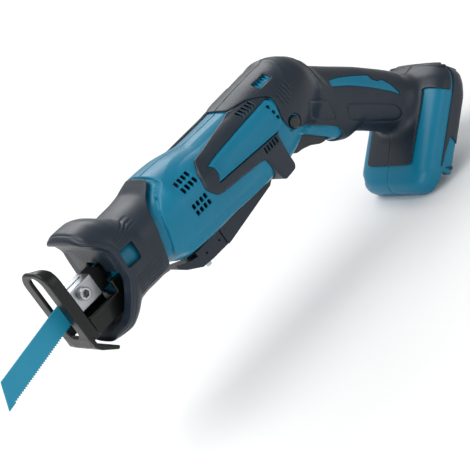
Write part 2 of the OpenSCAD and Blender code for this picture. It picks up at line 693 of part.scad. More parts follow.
module armature_core() color(steel) difference() {
    bar_x(core_r, can_x + 4.5, cap_x - 7, motor_y, motor_z);
    bar_x(shaft_d / 2, 0, big, motor_y, motor_z);
    for (i = [0:4])
        translate([0, motor_y, motor_z]) rotate([i * 72, 0, 0])
            block([0, -1.2, shaft_d / 2 + 3], [big, 1.2, big]);
}
module armature_windings() color(copper) {
    ring_x(core_r - 2, shaft_d / 2, can_x + 2, can_x + 4.5, motor_y, motor_z);
    ring_x(core_r - 2, shaft_d / 2, cap_x - 7, cap_x - 4.5, motor_y, motor_z);
}
module commutator() color(copper) ring_x(9, shaft_d / 2, cap_x - 4, rear_bearing_x - 0.8, motor_y, motor_z);
module motor_can() color(steel) difference() {
    bar_x(can_d / 2, can_x, cap_x, motor_y, motor_z);
    bar_x(can_d / 2 - 2.2, can_x + 1.5, cap_x + 1, motor_y, motor_z);
    bar_x(12, can_x - 1, cap_x, motor_y, motor_z);
}
module magnets() color(black) difference() {
    ring_x(can_d / 2 - 2.2, core_r + 0.8, can_x + 4, cap_x - 5, motor_y, motor_z);
    block([0, -big, motor_z - 5], [big, big, motor_z + 5]);
}
module motor_end_cap() color(black) difference() {
    union() {
        ring_x(can_d / 2, can_d / 2 - 3, cap_x, cap_x + cap_l, motor_y, motor_z);
        bar_x(can_d / 2 - 1, cap_x + cap_l - 2.5, cap_x + cap_l, motor_y, motor_z);
        bar_x(bearing_r + 2.5, rear_bearing_x, cap_x + cap_l, motor_y, motor_z);
    }
    bar_x(bearing_r, rear_bearing_x - 1, rear_bearing_x + bearing_w, motor_y, motor_z);
}
brush = 5;
holder_x = cap_x - 0.9;
module brushes(size, from, to) for (s = [-1, 1])
    block([holder_x - size / 2, motor_y + (s > 0 ? from : -to), motor_z - size / 2],
        [holder_x + size / 2, motor_y + (s > 0 ? to : -from), motor_z + size / 2]);
module brush_holders() color(brass) difference() {
    brushes(brush + 2, 11, can_d / 2 - 3.6);
    brushes(brush + 0.1, 0, can_d);
}
module carbon_brushes() color(black) brushes(brush, 9.3, 17);

// ---- Switch, trigger and lock-off button ----
switch_z = [-g + 6.5, g - 14];
module switch_body() color(black) on_grip() difference() {
    block([13, -10, switch_z[0]], [50, 10, switch_z[1]]);
    block([14.5, -4, switch_z[0] - 1], [23.5, 4, switch_z[0] + 7]);
}
module trigger() color(black) on_grip() difference() {
    union() {
        side_prism([[10, -g + 0.5], [9.5, -g - 6], [9.5, -g - 15], [11.5, -g - 18.5], [14.5, -g - 18],
            [19, -g - 15],
            [26, -g - 12], [34, -g - 10.5], [38, -g - 8.5], [40, -g], [37, -g + 4], [30, -g + 2]],
            -trigger_w / 2, trigger_w / 2);
        block([16, -3, -g], [22, 3, -g + 9]);
    }
    bar_y(trigger_pin_r + 0.05, -big, big, trigger_hinge[0], trigger_hinge[1], 32);
    bar_y(3.6, -2.6, 2.6, trigger_hinge[0], trigger_hinge[1], 32);
}
module trigger_pin() color(steel)
    bar_y(trigger_pin_r, -trigger_w / 2 - 3, trigger_w / 2 + 3, trigger_pivot[0], trigger_pivot[1], 24);

// Tube of radius r along a list of points
function unit(v) = v / norm(v);
function tube_ring(p, d, r, n) =
    let (u = unit(cross(d, abs(d[1]) < 0.8 * norm(d) ? [0, 1, 0] : [1, 0, 0])), v = unit(cross(u, d)))
    [for (i = [0:n - 1]) p + r * (u * cos(i * 360 / n) + v * sin(i * 360 / n))];
module tube(path, r, n = 8) {
    m = len(path);
    skin_over([for (k = [0:m - 1])
        tube_ring(path[k], path[min(k + 1, m - 1)] - path[max(k - 1, 0)], r, n)], n);
}
spring_turns = 3.5;
module trigger_spring() color(steel) on_grip()
    translate([trigger_hinge[0], 0, trigger_hinge[1]])
        tube([for (i = [0:8 * spring_turns + 8]) let (a = i * 45)
            [2.4 * sin(a), -2 + 4 * i / (8 * spring_turns + 8), 2.4 * cos(a)]], 0.35, 6);

lock_y = side(lock_x, lock_z, body_rows, skin);
module lock_off_button() color(black) {
    bar_y(lock_d / 2, -lock_y - 0.5, lock_y - 3, lock_x, lock_z);
    translate([lock_x, -lock_y - 0.5, lock_z]) rotate([90, 0, 0])
        cylinder(r1 = lock_d / 2, r2 = lock_d / 2 - 1.8, h = 1.5, $fn = 48);
}

// ---- Battery connection and leads ----
term_s = [channel_rear - 50, channel_rear - 12];
term_w = 14;
module terminal_window() on_foot()
    block([term_s[0], -term_w, deck - 1], [term_s[1], term_w, deck + wall + 1]);
module terminal_block() color(black) on_foot()
    block([term_s[0], -term_w, deck - 6.5], [term_s[1], term_w, deck + wall + 4]);
module battery_terminals() color(brass) on_foot() for (y = [-9, 0, 9])
    block([term_s[0] - 8, y - 0.5, deck - 5.5], [term_s[0], y + 0.5, deck - 2.2]);

lead_r = 1.2;
module lead(points) tube([for (p = points) p], lead_r, 8);
module battery_leads() color(copper) for (s = [-1, 1]) {
    from = foot_point(-8, deck + wall + 4.8);
    lead(concat([[from[0], 6 * s, from[1]]],
        [for (q = [[grip_l - 3, 4], [grip_l - 12, 8], [grip_l - 26, 10], [72, 9], [60, 6], [51.2, 2.5]])
            let (c = grip_point(q[0], q[1])) [c[0], 6 * s, c[1]]]));
}
module motor_leads() color(copper) for (s = [-1, 1]) {
    to = [cap_x + cap_l + 0.4, 12 * s + motor_y, 8];
    lead(concat([to, to + [4, 0, 0], to + [12, -2 * s, -3]],
        [for (q = [[-1, 11], [6, 8], [11.8, 3]])
            let (c = grip_point(q[0], q[1])) [c[0], 6 * s + 1, c[1]]]));
}

housing_left();
housing_right();
grip_cover_left();
grip_cover_right();
side_frame_left();
side_frame_right();
badge_plate_left();
badge_plate_right();
foot_trim_left();
foot_trim_right();
nose_cover();
housing_screws();
belly_strip();
wrench_clip();
hex_wrench();
gear_case();
gear_case_cover();
cover_screws();
front_bush();
rear_bush();
dust_seal();
shoe();
shoe_screws();
plunger();
blade_clamp();
clamp_bolt();
blade();
crank_gear();
crank_pin();
crank_roller();
crank_bearing();
pinion();
motor_shaft();
front_bearing();
rear_bearing();
fan();
armature_core();
armature_windings();
commutator();
motor_can();
magnets();
motor_end_cap();
brush_holders();
carbon_brushes();
switch_body();
trigger();
trigger_pin();
trigger_spring();
lock_off_button();
terminal_block();
battery_terminals();
battery_leads();
motor_leads();
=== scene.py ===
import json
import math
import bpy
import numpy as np
from mathutils import Matrix, Vector


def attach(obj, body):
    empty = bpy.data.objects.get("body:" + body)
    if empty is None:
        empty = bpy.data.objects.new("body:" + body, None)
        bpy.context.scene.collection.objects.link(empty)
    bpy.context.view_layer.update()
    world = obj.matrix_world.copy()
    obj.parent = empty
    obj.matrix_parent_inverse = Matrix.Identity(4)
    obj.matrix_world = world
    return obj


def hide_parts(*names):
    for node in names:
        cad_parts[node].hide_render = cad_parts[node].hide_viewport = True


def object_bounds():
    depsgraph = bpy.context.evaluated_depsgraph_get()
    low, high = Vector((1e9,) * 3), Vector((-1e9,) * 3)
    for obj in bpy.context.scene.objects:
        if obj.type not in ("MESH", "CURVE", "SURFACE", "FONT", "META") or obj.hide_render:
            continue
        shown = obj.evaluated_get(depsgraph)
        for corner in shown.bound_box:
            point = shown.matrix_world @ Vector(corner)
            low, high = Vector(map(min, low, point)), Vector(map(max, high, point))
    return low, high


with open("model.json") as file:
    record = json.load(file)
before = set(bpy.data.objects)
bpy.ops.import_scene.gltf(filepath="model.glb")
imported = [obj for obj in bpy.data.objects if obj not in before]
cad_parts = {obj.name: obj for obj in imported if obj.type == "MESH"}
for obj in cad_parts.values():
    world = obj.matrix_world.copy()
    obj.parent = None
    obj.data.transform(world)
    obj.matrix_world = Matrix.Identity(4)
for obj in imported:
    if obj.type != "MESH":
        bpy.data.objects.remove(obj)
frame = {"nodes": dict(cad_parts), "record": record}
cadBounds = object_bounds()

# Lengths here are in millimetres, in the frame's axes; place() turns them to metres.
mm = 0.001


# Small tools for shapes. A field gives the distance to a surface, less than zero inside it.
def smoothMax(a, b, blend):
    h = np.clip(0.5 + 0.5 * (a - b) / blend, 0, 1)
    return b + (a - b) * h + blend * h * (1 - h)


def smoothMin(a, b, blend):
    return -smoothMax(-a, -b, blend)


def ramp(value, low, high):
    t = np.clip((value - low) / (high - low), 0, 1)
    return t * t * (3 - 2 * t)


def smoothRows(rows, count=900):  # a smooth curve through each column that never overshoots its rows
    rows = np.array(rows, float)
    u, gaps = rows[:, 0], np.diff(rows[:, 0])
    at = np.linspace(u[0], u[-1], count)
    k = np.clip(np.searchsorted(u, at, side="right") - 1, 0, len(u) - 2)
    t = (at - u[k]) / gaps[k]
    columns = [at]
    for c in range(1, rows.shape[1]):
        v = rows[:, c]
        slope = np.diff(v) / gaps
        m = np.zeros(len(v))
        same = slope[:-1] * slope[1:] > 0
        w1, w2 = 2 * gaps[1:] + gaps[:-1], gaps[1:] + 2 * gaps[:-1]
        with np.errstate(divide="ignore", invalid="ignore"):
            m[1:-1] = np.where(same, (w1 + w2) / (w1 / slope[:-1] + w2 / slope[1:]), 0)
        m[0], m[-1] = slope[0], slope[-1]
        columns.append((2 * t**3 - 3 * t**2 + 1) * v[k] + (t**3 - 2 * t**2 + t) * gaps[k] * m[k]
                       + (3 * t**2 - 2 * t**3) * v[k + 1] + (t**3 - t**2) * gaps[k] * m[k + 1])
    columns += [np.gradient(c, at) for c in columns[1:4]]
    return columns


def loft(u, y, v, curves, endBlend=0.5):  # distance to a lofted superellipse, true to first order
    top, bottom, half, low, high, topSlope, bottomSlope, halfSlope = (
        np.interp(u, curves[0], c) for c in curves[1:])
    tall = (top - bottom) / 2
    across, up = np.abs(y) / half, (v - (top + bottom) / 2) / tall
    square = np.where(up > 0, high, low)
    side, up = np.sign(up), np.abs(up)
    total = np.maximum(across**square + up**square, 1e-6)
    outward = total ** (1 / square - 1)
    byY = outward * across ** (square - 1) / half
    byV = outward * up ** (square - 1) / tall
    tallSlope, middleSlope = (topSlope - bottomSlope) / 2, (topSlope + bottomSlope) / 2
    byU = byY * np.minimum(across, 1) * halfSlope + byV * (np.minimum(up, 1) * tallSlope + side * middleSlope)
    d = (total ** (1 / square) - 1) / np.maximum(np.sqrt(byY**2 + byV**2 + byU**2), 1e-3)
    return smoothMax(d, np.maximum(curves[0][0] - u, u - curves[0][-1]), endBlend)


def rounded(points, radius, steps=6):  # each corner of a closed outline becomes a short curve
    points = np.array(points, float)
    out = []
    for i, p in enumerate(points):
        a, b = points[i - 1] - p, points[(i + 1) % len(points)] - p
        la, lb = np.linalg.norm(a), np.linalg.norm(b)
        start, end = p + a / la * min(radius, 0.45 * la), p + b / lb * min(radius, 0.45 * lb)
        out += [(1 - t)**2 * start + 2 * t * (1 - t) * p + t * t * end for t in np.linspace(0, 1, steps)]
    return np.array(out)


def panel(points, radius=1.0, cell=0.5, margin=8):  # signed distance to an outline, kept on a fine grid
    outline = rounded(points, radius)
    low, high = outline.min(0) - margin, outline.max(0) + margin
    count = np.ceil((high - low) / cell).astype(int) + 1
    gx, gz = np.meshgrid(*(low[i] + cell * np.arange(count[i]) for i in (0, 1)), indexing="ij")
    best, inside = np.full(gx.shape, 1e9), np.zeros(gx.shape, bool)
    for a, b in zip(outline, np.roll(outline, -1, axis=0)):
        d = b - a
        length = max(d @ d, 1e-12)
        t = np.clip(((gx - a[0]) * d[0] + (gz - a[1]) * d[1]) / length, 0, 1)
        best = np.minimum(best, (gx - a[0] - t * d[0])**2 + (gz - a[1] - t * d[1])**2)
        if a[1] != b[1]:
            crosses = (a[1] > gz) != (b[1] > gz)
            inside ^= crosses & (gx < a[0] + (gz - a[1]) * d[0] / d[1])
    grid = np.sqrt(best) * np.where(inside, -1, 1)

    def distance(x, z):
        cx = np.clip(x, low[0], low[0] + cell * (count[0] - 1.001))
        cz = np.clip(z, low[1], low[1] + cell * (count[1] - 1.001))
        fx, fz = (cx - low[0]) / cell, (cz - low[1]) / cell
        i, j = fx.astype(int), fz.astype(int)
        fx, fz = fx - i, fz - j
        near = ((grid[i, j] * (1 - fx) + grid[i + 1, j] * fx) * (1 - fz)
                + (grid[i, j + 1] * (1 - fx) + grid[i + 1, j + 1] * fx) * fz)
        return near + np.hypot(x - cx, z - cz)
    return distance


def lineDistance(x, z, points):  # plain distance to an open line of points
    best = np.full(np.shape(x), 1e9)
    for a, b in zip(points[:-1], points[1:]):
        dx, dz = b[0] - a[0], b[1] - a[1]
        t = np.clip(((x - a[0]) * dx + (z - a[1]) * dz) / (dx * dx + dz * dz), 0, 1)
        best = np.minimum(best, (x - a[0] - t * dx)**2 + (z - a[1] - t * dz)**2)
    return np.sqrt(best)


def bar(a, b, radius):  # distance to a round bar, from its two coordinates across the bar
    return np.hypot(a, b) - radius


def brick(x, z, cx, cz, halfX, halfZ, corner=0.3, angle=0):  # a rounded rectangle
    c, s = math.cos(math.radians(angle)), math.sin(math.radians(angle))
    a, b = (x - cx) * c + (z - cz) * s, (z - cz) * c - (x - cx) * s
    qx, qz = np.abs(a) - halfX + corner, np.abs(b) - halfZ + corner
    return np.hypot(np.maximum(qx, 0), np.maximum(qz, 0)) + np.minimum(np.maximum(qx, qz), 0) - corner


def netSurface(field, low, high, step):  # a closed quad mesh round the places where the field is negative
    block = 6
    low = np.array(low, float) - 2 * step
    count = np.ceil((np.array(high, float) + 2 * step - low) / step / block).astype(int)
    middles = np.meshgrid(*(low[i] + step * block * (np.arange(count[i]) + 0.5) for i in range(3)),
                          indexing="ij")
    rough = field(*(m.ravel() for m in middles)).reshape(count)
    near = np.abs(rough) < step * block * 0.87 * 1.35
    whole = tuple(count * block + 1)
    values = np.ones(whole, np.float32)
    wide = lambda a: np.repeat(np.repeat(np.repeat(a, block, 0), block, 1), block, 2)
    values[:-1, :-1, :-1] = np.where(wide(rough) < 0, -1, 1)
    mask = np.zeros(whole, bool)
    spread = wide(near)
    for i in (0, 1):
        for j in (0, 1):
            for k in (0, 1):
                mask[i:whole[0] - 1 + i, j:whole[1] - 1 + j, k:whole[2] - 1 + k] |= spread
    at = np.argwhere(mask)
    found = np.empty(len(at), np.float32)
    for s in range(0, len(at), 400000):
        p = low + step * at[s:s + 400000]
        found[s:s + 400000] = field(p[:, 0], p[:, 1], p[:, 2])
    values[mask] = found
    inside = values < 0
    full = np.zeros(tuple(n - 1 for n in whole), np.int8)
    corners = [(i, j, k) for i in (0, 1) for j in (0, 1) for k in (0, 1)]
    for i, j, k in corners:
        full += inside[i:whole[0] - 1 + i, j:whole[1] - 1 + j, k:whole[2] - 1 + k]
    cells = np.argwhere((full > 0) & (full < 8))
    index = np.full(full.shape, -1, np.int32)
    index[tuple(cells.T)] = np.arange(len(cells))
    corner = {c: values[cells[:, 0] + c[0], cells[:, 1] + c[1], cells[:, 2] + c[2]] for c in corners}
    total, hits = np.zeros((len(cells), 3)), np.zeros(len(cells))
    for a in corners:
        for axis in range(3):
            if a[axis]:
                continue
            b = tuple(1 if n == axis else a[n] for n in range(3))
            crosses = (corner[a] < 0) != (corner[b] < 0)
            t = np.where(crosses, corner[a] / np.where(crosses, corner[a] - corner[b], 1), 0)
            for n in range(3):
                total[:, n] += np.where(crosses, a[n] + (t if n == axis else 0), 0)
            hits += crosses
    points = low + step * (cells + total / hits[:, None])
    faces = []
    for axis in range(3):
        p, q = [n for n in range(3) if n != axis]
        first = [slice(None)] * 3
        second = [slice(None)] * 3
        first[axis], second[axis] = slice(0, -1), slice(1, None)
        a, b = inside[tuple(first)], inside[tuple(second)]
        edges = np.argwhere(a != b)
        pair = edges[:, [p, q]]
        edges = edges[((pair > 0) & (pair < np.array(whole)[[p, q]] - 1)).all(1)]
        outward = a[tuple(edges.T)]
        around = []
        for dp, dq in ((1, 1), (0, 1), (0, 0), (1, 0)):
            e = edges.copy()
            e[:, p] -= dp
            e[:, q] -= dq
            around.append(index[tuple(e.T)])
        around = np.stack(around, 1)
        if axis == 1:
            outward = ~outward
        around[~outward] = around[~outward][:, ::-1]
        faces.append(around)
    faces = np.concatenate(faces)
    start, probe = points.copy(), 0.3 * step
    for _ in range(3):
        value = field(points[:, 0], points[:, 1], points[:, 2])
        slope = np.stack([field(*(points + probe * np.eye(3)[n]).T)
                          - field(*(points - probe * np.eye(3)[n]).T)
                          for n in range(3)], 1) / (2 * probe)
        move = -value[:, None] * slope / np.maximum((slope**2).sum(1), 0.25)[:, None]
        points = start + np.clip(points + move - start, -0.6 * step, 0.6 * step)
    return points, faces


def place(name, points, faces, body="tool", slot=None, smooth=True, keep=1.0):
    mesh = bpy.data.meshes.new(name)
    mesh.from_pydata([tuple(p) for p in np.asarray(points) * mm], [],
                     [tuple(int(i) for i in f) for f in faces])
    mesh.validate()
    mesh.polygons.foreach_set("use_smooth", [smooth] * len(mesh.polygons))
    piece = bpy.data.objects.new(name, mesh)
    bpy.context.scene.collection.objects.link(piece)
    if keep < 1:
        thin = piece.modifiers.new("thin", "DECIMATE")
        thin.ratio = keep
        bpy.context.view_layer.update()
        thinned = piece.evaluated_get(bpy.context.evaluated_depsgraph_get())
        piece.data = bpy.data.meshes.new_from_object(thinned)
        piece.modifiers.clear()
    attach(piece, body)
    print(name, len(piece.data.polygons), "faces")
    return piece


# camera, floor and light
view = {
    "from": (-0.435705, -1.071019, 0.435783),
    "right": (0.6247, -0.574, -0.530),
    "up": (0.6469, 0.0, 0.7625),
    "lens": 149.4,
}
right = Vector(view["right"]).normalized()
up = Vector(view["up"])
up = (up - right * up.dot(right)).normalized()
back = right.cross(up)
camera = bpy.data.objects.new("camera", bpy.data.cameras.new("camera"))
camera.matrix_world = Matrix((
    (right.x, up.x, back.x, view["from"][0]),
    (right.y, up.y, back.y, view["from"][1]),
    (right.z, up.z, back.z, view["from"][2]),
    (0, 0, 0, 1)))
camera.data.lens = view["lens"]
camera.data.sensor_width = 36
camera.data.clip_start, camera.data.clip_end = 0.05, 20
bpy.context.scene.collection.objects.link(camera)
bpy.context.scene.camera = camera

floorSize = 6.0  # metres from the middle to an edge
low = cadBounds[0][2]
floorMesh = bpy.data.meshes.new("floor")
corners = [(x * floorSize, y * floorSize, low) for x, y in ((-1, -1), (1, -1), (1, 1), (-1, 1))]
floorMesh.from_pydata(corners, [], [(0, 1, 2, 3)])
floor = bpy.data.objects.new("floor", floorMesh)
bpy.context.scene.collection.objects.link(floor)


def softLight(name, at, target, size, power, colour=(1, 1, 1)):
    lamp = bpy.data.lights.new(name, "AREA")
    lamp.shape, lamp.size, lamp.size_y = "RECTANGLE", size[0], size[1]
    lamp.energy, lamp.color = power, colour
    thing = bpy.data.objects.new(name, lamp)
    thing.location = at
    thing.rotation_euler = (Vector(target) - Vector(at)).to_track_quat("-Z", "Y").to_euler()
    bpy.context.scene.collection.objects.link(thing)


lights = [  # name, place, width and height, power
    ("topLight", (-0.3, 0.25, 1.3), (1.2, 0.9), 12.5),
    ("leftLight", (-1.5, -0.7, 0.7), (0.9, 1.1), 8.5),
    ("frontLight", (0.6, -1.6, 0.5), (0.9, 0.9), 3.5),
    ("backLight", (0.9, 1.2, 0.9), (1.0, 0.7), 8),
]
for name, at, size, power in lights:
    softLight(name, at, (0.13, 0, -0.02), size, power)
world = bpy.data.worlds.new("studio")
bpy.context.scene.world = world
world.use_nodes = True
world.node_tree.nodes["Background"].inputs["Color"].default_value = (1, 1, 1, 1)
world.node_tree.nodes["Background"].inputs["Strength"].default_value = 0.5
bpy.context.scene.view_settings.view_transform = "Standard"
print("camera, floor and lights set")


# materials
def linear(text):  # sRGB hex to linear colour
    values = [int(text[i:i + 2], 16) / 255 for i in (1, 3, 5)]
    return tuple(v / 12.92 if v <= 0.04045 else ((v + 0.055) / 1.055)**2.4 for v in values) + (1,)


def addNode(tree, kind, links=None, **settings):  # links: input name or number to a value or a socket
    node = tree.nodes.new("ShaderNode" + kind)
    for key, value in settings.items():
        setattr(node, key, value)
    for key, value in (links or {}).items():
        if isinstance(value, bpy.types.NodeSocket):
            tree.links.new(value, node.inputs[key])
        else:
            node.inputs[key].default_value = value
    return node


def finish(name, look):  # a material from one row of looks
    material = bpy.data.materials.new(name)
    material.use_nodes = True
    tree = material.node_tree
    shader = tree.nodes["Principled BSDF"]
    place = addNode(tree, "TexCoord").outputs["Object"]
    cloud = addNode(tree, "TexNoise", {"Vector": place, "Scale": 1000 / look["patch"], "Detail": 4.0,
                                       "Roughness": 0.6})
    grain = addNode(tree, "TexNoise", {"Vector": place, "Scale": 1000 / look["grain"], "Detail": 3.0,
                                       "Roughness": 0.55})
    colour = addNode(tree, "Mix", {0: cloud.outputs["Fac"], 6: linear(look["dark"]),
                                   7: linear(look["light"])}, data_type="RGBA")
    last = colour.outputs[2]
    # edges found by pointiness, broken up by the grain, get a lighter colour where a look asks for it: a
    # painted highlight
    if look.get("edge"):
        bend = addNode(tree, "NewGeometry").outputs["Pointiness"]
        reach = addNode(tree, "MapRange", {0: bend, 1: look["edgeFrom"], 2: look["edgeTo"]})
        broken = addNode(tree, "Math", {0: reach.outputs[0], 1: grain.outputs["Fac"]}, operation="MULTIPLY")
        edgeHighlight = addNode(tree, "Mix", {0: broken.outputs[0], 6: last, 7: linear(look["edge"])},
                       data_type="RGBA")
        last = edgeHighlight.outputs[2]
    tree.links.new(last, shader.inputs["Base Color"])
    rough = addNode(tree, "MapRange", {0: cloud.outputs["Fac"], 1: 0.3, 2: 0.7, 3: look["rough"][0],
                                       4: look["rough"][1]})
    tree.links.new(rough.outputs[0], shader.inputs["Roughness"])
    bump = addNode(tree, "Bump", {"Height": grain.outputs["Fac"], "Strength": look["bump"],
                                  "Distance": look["depth"] * mm})
    tree.links.new(bump.outputs["Normal"], shader.inputs["Normal"])
    shader.inputs["Metallic"].default_value = look.get("metal", 0)
    if "ior" in look:
        shader.inputs["IOR"].default_value = look["ior"]
    shader.inputs["Specular IOR Level"].default_value = look.get("shine", 0.5)
    return material


looks = {  # dark and light colour, size of the clouding and the grain in mm, roughness, bump
    # moulded ABS, faintly grained: a soft sheen with even colour
    "tealAbs": {
        "dark": "#006987", "light": "#007797", "patch": 40, "grain": 0.6, "rough": (0.3, 0.38),
        "bump": 0.25, "depth": 0.03, "ior": 1.5, "shine": 0.32},
    # overmoulded thermoplastic rubber: darker, wider highlights from its fine texture
    "overmouldRubber": {
        "dark": "#141e29", "light": "#1b2936", "patch": 30, "grain": 0.5, "rough": (0.36, 0.46),
        "bump": 0.4, "depth": 0.04, "ior": 1.5, "shine": 0.4},
    # glass-filled nylon: black and slightly dull
    "blackNylon": {
        "dark": "#15181b", "light": "#1e2226", "patch": 20, "grain": 0.5, "rough": (0.36, 0.46),
        "bump": 0.3, "depth": 0.03, "ior": 1.5},
    # pressed steel with black oxide: near black, with a bronze colour painted along the edges as a painted
    # highlight
    "blackOxideSteel": {
        "dark": "#080b0a", "light": "#121614", "patch": 12, "grain": 0.4, "rough": (0.26, 0.4),
        "bump": 0.3, "depth": 0.02, "metal": 0.35, "edge": "#5d5340", "edgeFrom": 0.53, "edgeTo": 0.62},
    # milled steel: bright, with a brushed softness
    "machinedSteel": {
        "dark": "#a4a7ab", "light": "#c0c3c7", "patch": 8, "grain": 0.3, "rough": (0.28, 0.38),
        "bump": 0.15, "depth": 0.01, "metal": 1.0},
    # powder-coated blade: flat even colour
    "paintedBlade": {
        "dark": "#0083a3", "light": "#008bac", "patch": 30, "grain": 0.5, "rough": (0.45, 0.52),
        "bump": 0.1, "depth": 0.01, "ior": 1.5},
    # die-cast aluminium: grey with a rough cast skin
    "castAluminium": {
        "dark": "#8f9294", "light": "#a7a9ab", "patch": 6, "grain": 0.5, "rough": (0.45, 0.6),
        "bump": 0.5, "depth": 0.05, "metal": 1.0},
    # enamelled copper wire: warm and glossy
    "enamelledCopper": {
        "dark": "#8f4a26", "light": "#b5652f", "patch": 3, "grain": 0.5, "rough": (0.3, 0.4),
        "bump": 0.3, "depth": 0.03, "metal": 1.0},
    # sintered bronze bush: dull brown with open pores
    "sinteredBronze": {
        "dark": "#8a6a3c", "light": "#a9854c", "patch": 2, "grain": 0.3, "rough": (0.4, 0.55),
        "bump": 0.4, "depth": 0.02, "metal": 1.0},
}
materials = {name: finish(name, look) for name, look in looks.items()}
slotLooks = {"teal_plastic": "tealAbs", "rubber": "overmouldRubber", "black_plastic": "blackNylon",
             "black_steel": "blackOxideSteel", "bright_steel": "machinedSteel",
             "teal_paint": "paintedBlade", "cast_alloy": "castAluminium", "copper": "enamelledCopper",
             "bronze": "sinteredBronze"}
for part in frame["record"]["subparts"]:
    node = frame["nodes"][part["node"]]
    node.data.materials.clear()
    node.data.materials.append(materials[slotLooks[part["material_slot"]]])
paper = finish("palePaper",
               {"dark": "#f2f2f2", "light": "#fbfbfb", "patch": 400, "grain": 3, "rough": (0.8, 0.9),
                "bump": 0.05, "depth": 0.02})
floor.data.materials.append(paper)
print("materials made")


# The outside shape: body, handle and foot, each lofted along its own axis.
# Each row: place along the axis, top, bottom, half width, squareness below and above the middle.
bodyRows = [
    (43, 20, -22, 29, 2.6, 2.6), (70, 20.5, -23.5, 29.5, 2.6, 2.6), (79, 21, -25, 30.5, 2.6, 2.6),
    (88, 22, -30.5, 33.5, 2.5, 2.5), (95, 24.8, -33.5, 35, 2.45, 2.45), (103, 28.2, -35.5, 36, 2.4, 2.4),
    (120, 27.4, -35.5, 36, 2.4, 2.4), (132, 25.2, -35.5, 35.5, 2.4, 2.4), (143, 22.8, -35, 35, 2.4, 2.4),
    (173, 22.4, -34.5, 34, 2.6, 2.5), (185, 23.2, -34.5, 33.5, 2.7, 2.5), (197, 23.8, -33, 33, 2.6, 2.4),
    (217, 24.5, -27, 31, 2.35, 2.3), (233, 23.5, -21, 27, 2.3, 2.3), (242, 18, -14, 21, 2.2, 2.2),
    (246, 11, -8, 13, 2, 2)]
gripRows = [
    (-8, 19.5, -23.5, 24.5, 2.4, 2.4), (10, 20, -25.5, 21.5, 2.5, 2.4), (24, 21, -27, 18.5, 2.6, 2.4),
    (42, 22, -27.5, 17, 2.6, 2.4), (56, 23, -25.5, 16.5, 2.5, 2.4), (68, 23.5, -18.5, 16.5, 2.4, 2.4),
    (84, 23.5, -17.5, 16.5, 2.4, 2.4), (98, 23, -17.5, 17, 2.4, 2.4), (105, 21, -18, 18, 2.5, 2.4),
    (113, 16, -16, 16, 2.5, 2.4), (126, 6, -8, 9, 2.5, 2.4)]
footRows = [
    (-64, -6, -17, 24, 3, 3), (-62, -3, -23, 30, 3.5, 3), (-57, 0, -27.5, 35, 5, 3),
    (-48, 1, -28.4, 38, 7, 3.2), (6, 1.3, -28.4, 38, 7, 3), (16, 0, -28.4, 37, 5, 2.8),
    (23, -3.5, -28, 34, 4, 2.6), (28, -8, -26, 27, 3.5, 2.5), (30, -13, -22, 18, 3, 2.5)]
bodyCurves, gripCurves, footCurves = smoothRows(bodyRows), smoothRows(gripRows), smoothRows(footRows)
gripRoot, gripAngle, gripLength = (223, 1), math.radians(42), 110
footAngle = math.radians(38.4)


def gripPoint(t, k):
    c, s = math.cos(gripAngle), math.sin(gripAngle)
    return gripRoot[0] + t * c + k * s, gripRoot[1] - t * s + k * c


footRoot = gripPoint(gripLength, 2.5)


def footPoint(s, v):
    c, n = math.cos(footAngle), math.sin(footAngle)
    return footRoot[0] + s * c - v * n, footRoot[1] + s * n + v * c


def alongGrip(x, z):
    c, s = math.cos(gripAngle), math.sin(gripAngle)
    return (x - gripRoot[0]) * c - (z - gripRoot[1]) * s, (x - gripRoot[0]) * s + (z - gripRoot[1]) * c


def alongFoot(x, z):
    c, n = math.cos(footAngle), math.sin(footAngle)
    return (x - footRoot[0]) * c + (z - footRoot[1]) * n, -(x - footRoot[0]) * n + (z - footRoot[1]) * c


def outer(x, y, z):
    t, k = alongGrip(x, z)
    s, v = alongFoot(x, z)
    body, grip, foot = loft(x, y, z, bodyCurves), loft(t, y, k, gripCurves), loft(s, y, v, footCurves)
    return smoothMin(smoothMin(body, grip, 7), foot, 9)


facets = [  # planes that crease the body: which way each faces, places along X and its distance there
    ((0.53, 0.848), (100, 105, 133, 150, 180, 200), (35.5, 34.2, 30.4, 28.0, 27.4, 31)),
    ((0.86, -0.51), (79, 95, 120, 143, 165, 178), (32.6, 36.4, 37.7, 37.0, 36.4, 41)),
    ((0.413, -0.911), (79, 95, 120, 143, 165, 175), (28.5, 33.2, 35.3, 35.0, 34.8, 40)),
]
# the crease along each shoulder, its half width along X, then the bevel strip along the lower side
crease = {"x": (98, 105.5, 115, 124, 133, 150, 170, 179, 214), "y": (25, 21, 16, 11.5, 9, 8, 9, 10, 9),
          "slope": 0.2, "reach": 7}
bevel = {"x": (83, 90, 107, 126, 146, 164), "z": (-19.7, -17.2, -17.3, -17.7, -20, -21), "tall": 5.5,
         "rise": 2.3}
# outlines in X and Z: the flange under the nose cover, the inlay of the grip, the strip over the trigger
flangeLine = panel([(40, 60), (103, 60), (102.3, 23.4), (97.2, 21.2), (93.2, 18.2), (87.7, 13.2), (84.2, 8.2),
                    (81.6, -0.7), (79.2, -10), (78.6, -14.2), (79.7, -21.7), (84, -45), (40, -45)], 2)
inlayShape = [(255.8, -12.5), (263.9, -16.3), (275, -23.2), (286.7, -31.6), (286.6, -35), (290, -39.6),
              (293.5, -40.4), (297.2, -48), (298.9, -58), (293.9, -51.1), (280.2, -37), (267.9, -25.8),
              (254.4, -16.6)]
inlay = panel(inlayShape, 1.2)
guardStrip = panel([(205, -14.5), (213, -19.5), (224, -28), (236, -37.2), (241.6, -43), (243, -47.5),
                    (236.5, -48.5), (230, -40.5), (212, -24.5), (203, -17)], 1.2)


